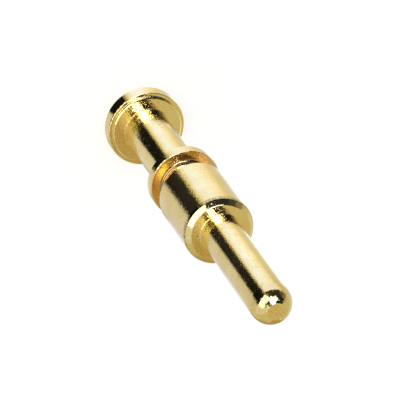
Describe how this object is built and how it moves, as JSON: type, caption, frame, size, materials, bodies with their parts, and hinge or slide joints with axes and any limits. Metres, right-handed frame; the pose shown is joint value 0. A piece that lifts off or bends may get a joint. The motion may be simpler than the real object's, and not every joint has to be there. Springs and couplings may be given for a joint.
{
  "type": "crimp pin contact",
  "caption": "Turned gold-plated crimp pin contact with a hollow crimp barrel, rear disc, retention groove, chamfered collar and round-nosed pin.",
  "frame": {"origin": "centre of the rear face of the disc, where the wire enters; the contact stands on this face", "axes": "+Z along the turning axis, from the wire end to the tip of the pin; X and Y are alike"},
  "size_m": [0.005, 0.0048, 0.026],
  "materials": {
    "gold_plated_alloy": "turned copper alloy with bright gold plating"
  },
  "bodies": {
    "root": {"contact": "gold_plated_alloy"}
  },
  "joints": []
}
